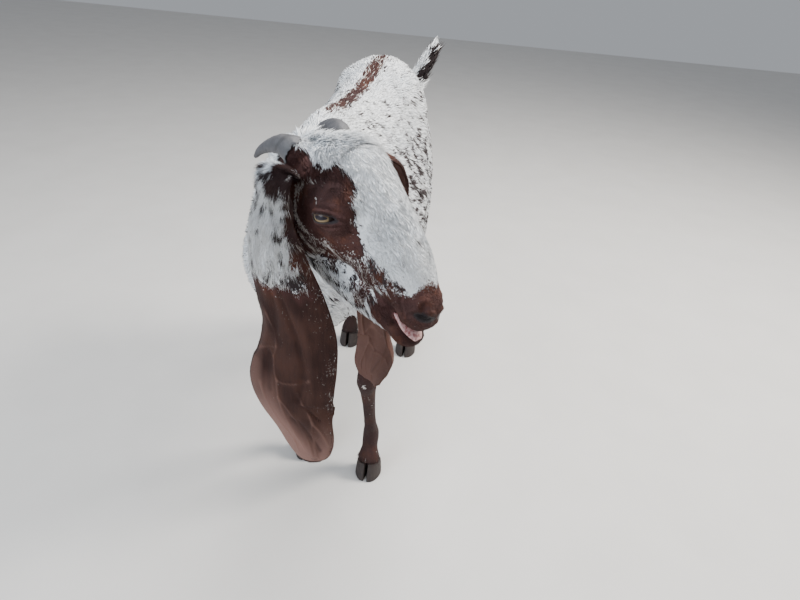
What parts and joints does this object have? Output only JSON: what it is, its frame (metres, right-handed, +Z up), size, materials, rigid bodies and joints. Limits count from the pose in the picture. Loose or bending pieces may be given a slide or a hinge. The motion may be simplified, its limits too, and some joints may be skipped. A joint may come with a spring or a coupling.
{
  "type": "makhi cheeni goat",
  "caption": "Life-size still model of a standing long-eared goat with short horns, its head turned to its left and its tail raised.",
  "frame": {"origin": "on the floor under the middle of the whole animal's bounding box", "axes": "+Z up, -Y the way the goat faces, +X towards the goat's left side"},
  "size_m": [0.4346, 0.9908, 0.8581],
  "materials": {
    "coat_white": "short flat hair, white with black flecks",
    "coat_brown": "short flat hair, chestnut brown",
    "horn": "grey ringed horn",
    "hoof": "dark dull horn",
    "eye": "amber, wet",
    "inner_lip": "pale pink, moist"
  },
  "bodies": {
    "root": {"head": "coat_white", "lower_jaw": "coat_white", "inner_lip": "inner_lip", "neck": "coat_white", "torso": "coat_white", "udder": "coat_white", "tail": "coat_white", "ear_left": "coat_brown", "ear_right": "coat_brown", "eye_left": "eye", "eye_right": "eye", "horn_left": "horn", "horn_right": "horn", "foreleg_upper_left": "coat_brown", "foreleg_upper_right": "coat_brown", "foreleg_lower_left": "coat_brown", "foreleg_lower_right": "coat_brown", "hindleg_upper_left": "coat_white", "hindleg_upper_right": "coat_white", "hindleg_lower_left": "coat_white", "hindleg_lower_right": "coat_white", "hoof_fore_left_outer": "hoof", "hoof_fore_left_inner": "hoof", "hoof_fore_right_outer": "hoof", "hoof_fore_right_inner": "hoof", "hoof_hind_left_outer": "hoof", "hoof_hind_left_inner": "hoof", "hoof_hind_right_outer": "hoof", "hoof_hind_right_inner": "hoof"}
  },
  "joints": []
}
